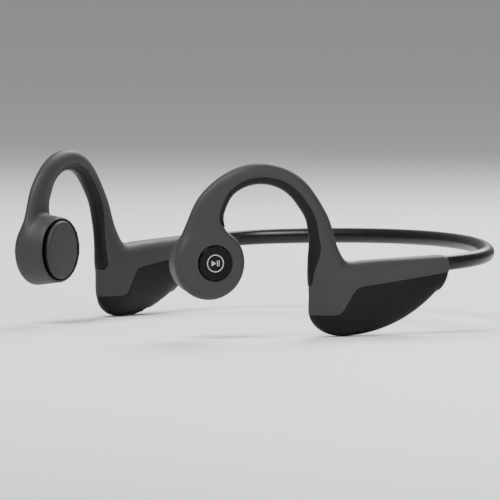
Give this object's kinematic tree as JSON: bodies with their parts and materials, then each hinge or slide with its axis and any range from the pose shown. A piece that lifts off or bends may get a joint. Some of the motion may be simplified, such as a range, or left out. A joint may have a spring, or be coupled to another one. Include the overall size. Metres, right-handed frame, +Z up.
{
  "type": "bone conduction headphones",
  "caption": "Open-ear wrap-around headset: bone conduction pods on ear hooks, housings behind the ears and an elastic neckband.",
  "frame": {"origin": "middle of the whole set, at the height of the housings' lowest points", "axes": "+X towards the wearer's left, the wearer faces -Y, +Z up, as worn"},
  "size_m": [0.149, 0.1444, 0.0584],
  "materials": {
    "grey_skin": "matte soft-touch silicone",
    "dark_frame": "moulded",
    "pad_rubber": "matte silicone",
    "black_rubber": "matte",
    "spring_steel": "satin",
    "yoke_steel": "satin",
    "magnet": "nickel plated",
    "copper": "enamelled copper wire",
    "titanium": "drawn titanium wire",
    "dark_inlay": "matte",
    "dark_cover": "fine satin",
    "gloss_button": "polished",
    "icon_print": "printed",
    "switch_metal": "plated",
    "circuit_board": "solder mask",
    "battery_foil": "pouch foil",
    "dark_key": "matte",
    "light_lens": "diffuse lens",
    "band_rubber": "satin silicone",
    "cable_jacket": "satin"
  },
  "bodies": {
    "left_unit": {"left_skin": "grey_skin", "left_pod_cup": "dark_frame", "left_pad_surround": "black_rubber", "left_driver_yoke": "yoke_steel", "left_driver_magnet": "magnet", "left_pole_plate": "yoke_steel", "left_hook_wire": "titanium", "left_hook_inlay": "dark_inlay", "left_lower_cover": "dark_cover", "left_chassis": "dark_frame", "button_guide": "dark_frame", "button_switch": "switch_metal", "button_board": "circuit_board", "battery": "battery_foil", "battery_board": "circuit_board", "band_sleeve_left": "band_rubber", "band_sleeve_rear": "band_rubber", "band_wire": "titanium", "band_cable": "cable_jacket"},
    "left_transducer": {"left_contact_pad": "pad_rubber", "left_voice_coil": "copper", "left_spring_plate": "spring_steel"},
    "main_button": {"multifunction_button": "gloss_button", "button_icon": "icon_print"},
    "right_unit": {"right_skin": "grey_skin", "right_pod_cup": "dark_frame", "right_pad_surround": "black_rubber", "right_driver_yoke": "yoke_steel", "right_driver_magnet": "magnet", "right_pole_plate": "yoke_steel", "right_hook_wire": "titanium", "right_hook_inlay": "dark_inlay", "right_lower_cover": "dark_cover", "right_chassis": "dark_frame", "main_board": "circuit_board", "radio_shield": "switch_metal", "volume_up_switch": "switch_metal", "volume_down_switch": "switch_metal", "charging_port": "switch_metal", "status_light": "light_lens", "microphone": "switch_metal", "band_sleeve_right": "band_rubber"},
    "right_transducer": {"right_contact_pad": "pad_rubber", "right_voice_coil": "copper", "right_spring_plate": "spring_steel"},
    "volume_up_button": {"volume_up_key": "dark_key"},
    "volume_down_button": {"volume_down_key": "dark_key"},
    "port_flap": {"port_cover": "black_rubber"}
  },
  "joints": [
    {"name": "neckband_flex", "type": "hinge", "parent": "left_unit", "child": "right_unit", "pos_m": [0, 0.06956, 0.0266], "axis": [0, 0, -1], "range_deg": [-6, 20], "stiffness_Nm_per_rad": 0.25, "deforming": ["band_sleeve_rear", "band_wire", "band_cable"]},
    {"name": "left_driver_travel", "type": "slide", "parent": "left_unit", "child": "left_transducer", "axis": [-0.9092, 0.4163, 0], "range_m": [-0.00012, 0.00012], "stiffness_N_per_m": 3000},
    {"name": "right_driver_travel", "type": "slide", "parent": "right_unit", "child": "right_transducer", "axis": [0.9092, 0.4163, 0], "range_m": [-0.00012, 0.00012], "stiffness_N_per_m": 3000},
    {"name": "multifunction_press", "type": "slide", "parent": "left_unit", "child": "main_button", "axis": [-0.9532, 0.3024, 0], "range_m": [0, 0.0004], "stiffness_N_per_m": 1500},
    {"name": "volume_up_press", "type": "slide", "parent": "right_unit", "child": "volume_up_button", "axis": [0.0419, -0.1788, 0.983], "range_m": [0, 0.00035], "stiffness_N_per_m": 1200},
    {"name": "volume_down_press", "type": "slide", "parent": "right_unit", "child": "volume_down_button", "axis": [0.0724, -0.3518, 0.9333], "range_m": [0, 0.00035], "stiffness_N_per_m": 1200},
    {"name": "port_flap_hinge", "type": "hinge", "parent": "right_unit", "child": "port_flap", "pos_m": [-0.06803, 0.00853, 0.0066], "axis": [-0.9863, -0.165, 0], "range_deg": [0, 100]}
  ]
}
